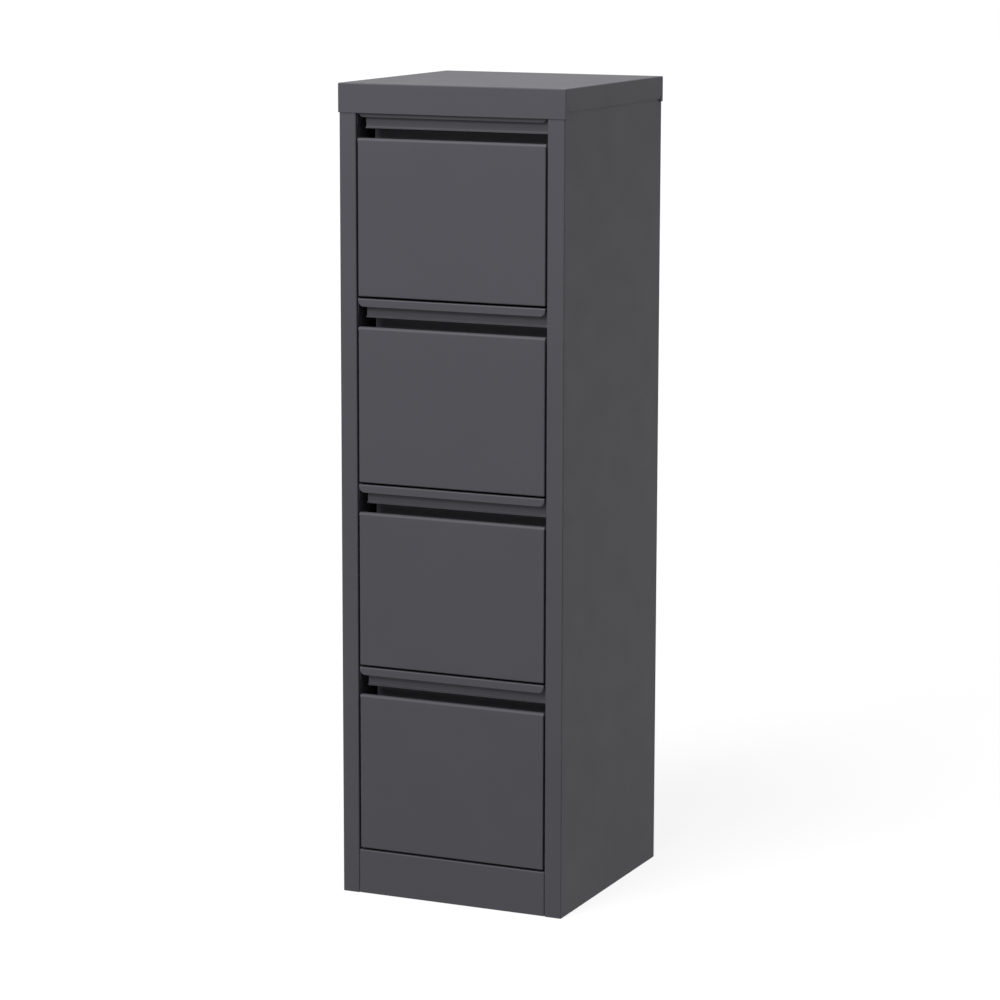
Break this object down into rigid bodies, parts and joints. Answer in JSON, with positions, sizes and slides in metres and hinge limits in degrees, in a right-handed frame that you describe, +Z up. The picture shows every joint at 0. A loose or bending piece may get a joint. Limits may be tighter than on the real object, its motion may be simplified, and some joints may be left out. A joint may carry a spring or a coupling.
{
  "type": "metal filing cabinet",
  "caption": "Tall slim filing cabinet in folded sheet steel, with flush drawers on telescopic slides, full-width finger gaps above the fronts, a top cap and a plinth.",
  "frame": {"origin": "centre of the footprint, on the floor", "axes": "+Z up; the front faces -Y, so the drawers pull out along -Y; +X to the right as seen from the front"},
  "size_m": [0.392, 0.404, 1.32],
  "materials": {
    "powder_coat": "satin powder coat, dark graphite grey",
    "zinc_plate": "bright zinc plate",
    "fastener_steel": "zinc-plated steel",
    "nylon": "black moulded nylon"
  },
  "bodies": {
    "carcass": {"left_side_panel": "powder_coat", "right_side_panel": "powder_coat", "back_panel": "powder_coat", "top_cap": "powder_coat", "base_tray": "powder_coat", "plinth_panel": "powder_coat", "left_slide_upright": "powder_coat", "right_slide_upright": "powder_coat", "floor_glides": "nylon", "rivets": "powder_coat", "slide_screws": "fastener_steel", "cross_rail_1": "powder_coat", "drawer_1_cabinet_slides": "zinc_plate", "cross_rail_2": "powder_coat", "drawer_2_cabinet_slides": "zinc_plate", "cross_rail_3": "powder_coat", "drawer_3_cabinet_slides": "zinc_plate", "cross_rail_4": "powder_coat", "drawer_4_cabinet_slides": "zinc_plate"},
    "drawer_1": {"drawer_1_front": "powder_coat", "drawer_1_front_liner": "powder_coat", "drawer_1_tray": "powder_coat", "drawer_1_back": "powder_coat", "drawer_1_file_rails": "powder_coat", "drawer_1_drawer_slides": "zinc_plate", "drawer_1_screws": "fastener_steel"},
    "drawer_1_middle_members": {"drawer_1_middle_slides": "zinc_plate"},
    "drawer_1_outer_balls": {"drawer_1_outer_ball_strips": "zinc_plate"},
    "drawer_1_inner_balls": {"drawer_1_inner_ball_strips": "zinc_plate"},
    "drawer_2": {"drawer_2_front": "powder_coat", "drawer_2_front_liner": "powder_coat", "drawer_2_tray": "powder_coat", "drawer_2_back": "powder_coat", "drawer_2_file_rails": "powder_coat", "drawer_2_drawer_slides": "zinc_plate", "drawer_2_screws": "fastener_steel"},
    "drawer_2_middle_members": {"drawer_2_middle_slides": "zinc_plate"},
    "drawer_2_outer_balls": {"drawer_2_outer_ball_strips": "zinc_plate"},
    "drawer_2_inner_balls": {"drawer_2_inner_ball_strips": "zinc_plate"},
    "drawer_3": {"drawer_3_front": "powder_coat", "drawer_3_front_liner": "powder_coat", "drawer_3_tray": "powder_coat", "drawer_3_back": "powder_coat", "drawer_3_file_rails": "powder_coat", "drawer_3_drawer_slides": "zinc_plate", "drawer_3_screws": "fastener_steel"},
    "drawer_3_middle_members": {"drawer_3_middle_slides": "zinc_plate"},
    "drawer_3_outer_balls": {"drawer_3_outer_ball_strips": "zinc_plate"},
    "drawer_3_inner_balls": {"drawer_3_inner_ball_strips": "zinc_plate"},
    "drawer_4": {"drawer_4_front": "powder_coat", "drawer_4_front_liner": "powder_coat", "drawer_4_tray": "powder_coat", "drawer_4_back": "powder_coat", "drawer_4_file_rails": "powder_coat", "drawer_4_drawer_slides": "zinc_plate", "drawer_4_screws": "fastener_steel"},
    "drawer_4_middle_members": {"drawer_4_middle_slides": "zinc_plate"},
    "drawer_4_outer_balls": {"drawer_4_outer_ball_strips": "zinc_plate"},
    "drawer_4_inner_balls": {"drawer_4_inner_ball_strips": "zinc_plate"}
  },
  "joints": [
    {"name": "drawer_1_slide", "type": "slide", "parent": "carcass", "child": "drawer_1", "axis": [0, -1, 0], "range_m": [0, 0.33]},
    {"name": "drawer_1_middle_slide", "type": "slide", "parent": "carcass", "child": "drawer_1_middle_members", "axis": [0, -1, 0], "range_m": [0, 0.165]},
    {"name": "drawer_1_outer_ball_slide", "type": "slide", "parent": "carcass", "child": "drawer_1_outer_balls", "axis": [0, -1, 0], "range_m": [0, 0.0825]},
    {"name": "drawer_1_inner_ball_slide", "type": "slide", "parent": "carcass", "child": "drawer_1_inner_balls", "axis": [0, -1, 0], "range_m": [0, 0.2475]},
    {"name": "drawer_2_slide", "type": "slide", "parent": "carcass", "child": "drawer_2", "axis": [0, -1, 0], "range_m": [0, 0.33]},
    {"name": "drawer_2_middle_slide", "type": "slide", "parent": "carcass", "child": "drawer_2_middle_members", "axis": [0, -1, 0], "range_m": [0, 0.165]},
    {"name": "drawer_2_outer_ball_slide", "type": "slide", "parent": "carcass", "child": "drawer_2_outer_balls", "axis": [0, -1, 0], "range_m": [0, 0.0825]},
    {"name": "drawer_2_inner_ball_slide", "type": "slide", "parent": "carcass", "child": "drawer_2_inner_balls", "axis": [0, -1, 0], "range_m": [0, 0.2475]},
    {"name": "drawer_3_slide", "type": "slide", "parent": "carcass", "child": "drawer_3", "axis": [0, -1, 0], "range_m": [0, 0.33]},
    {"name": "drawer_3_middle_slide", "type": "slide", "parent": "carcass", "child": "drawer_3_middle_members", "axis": [0, -1, 0], "range_m": [0, 0.165]},
    {"name": "drawer_3_outer_ball_slide", "type": "slide", "parent": "carcass", "child": "drawer_3_outer_balls", "axis": [0, -1, 0], "range_m": [0, 0.0825]},
    {"name": "drawer_3_inner_ball_slide", "type": "slide", "parent": "carcass", "child": "drawer_3_inner_balls", "axis": [0, -1, 0], "range_m": [0, 0.2475]},
    {"name": "drawer_4_slide", "type": "slide", "parent": "carcass", "child": "drawer_4", "axis": [0, -1, 0], "range_m": [0, 0.33]},
    {"name": "drawer_4_middle_slide", "type": "slide", "parent": "carcass", "child": "drawer_4_middle_members", "axis": [0, -1, 0], "range_m": [0, 0.165]},
    {"name": "drawer_4_outer_ball_slide", "type": "slide", "parent": "carcass", "child": "drawer_4_outer_balls", "axis": [0, -1, 0], "range_m": [0, 0.0825]},
    {"name": "drawer_4_inner_ball_slide", "type": "slide", "parent": "carcass", "child": "drawer_4_inner_balls", "axis": [0, -1, 0], "range_m": [0, 0.2475]}
  ],
  "couplings": [
    {"joint": "drawer_1_middle_slide", "follows": "drawer_1_slide", "ratio": 0.5},
    {"joint": "drawer_1_outer_ball_slide", "follows": "drawer_1_slide", "ratio": 0.25},
    {"joint": "drawer_1_inner_ball_slide", "follows": "drawer_1_slide", "ratio": 0.75},
    {"joint": "drawer_2_middle_slide", "follows": "drawer_2_slide", "ratio": 0.5},
    {"joint": "drawer_2_outer_ball_slide", "follows": "drawer_2_slide", "ratio": 0.25},
    {"joint": "drawer_2_inner_ball_slide", "follows": "drawer_2_slide", "ratio": 0.75},
    {"joint": "drawer_3_middle_slide", "follows": "drawer_3_slide", "ratio": 0.5},
    {"joint": "drawer_3_outer_ball_slide", "follows": "drawer_3_slide", "ratio": 0.25},
    {"joint": "drawer_3_inner_ball_slide", "follows": "drawer_3_slide", "ratio": 0.75},
    {"joint": "drawer_4_middle_slide", "follows": "drawer_4_slide", "ratio": 0.5},
    {"joint": "drawer_4_outer_ball_slide", "follows": "drawer_4_slide", "ratio": 0.25},
    {"joint": "drawer_4_inner_ball_slide", "follows": "drawer_4_slide", "ratio": 0.75}
  ]
}
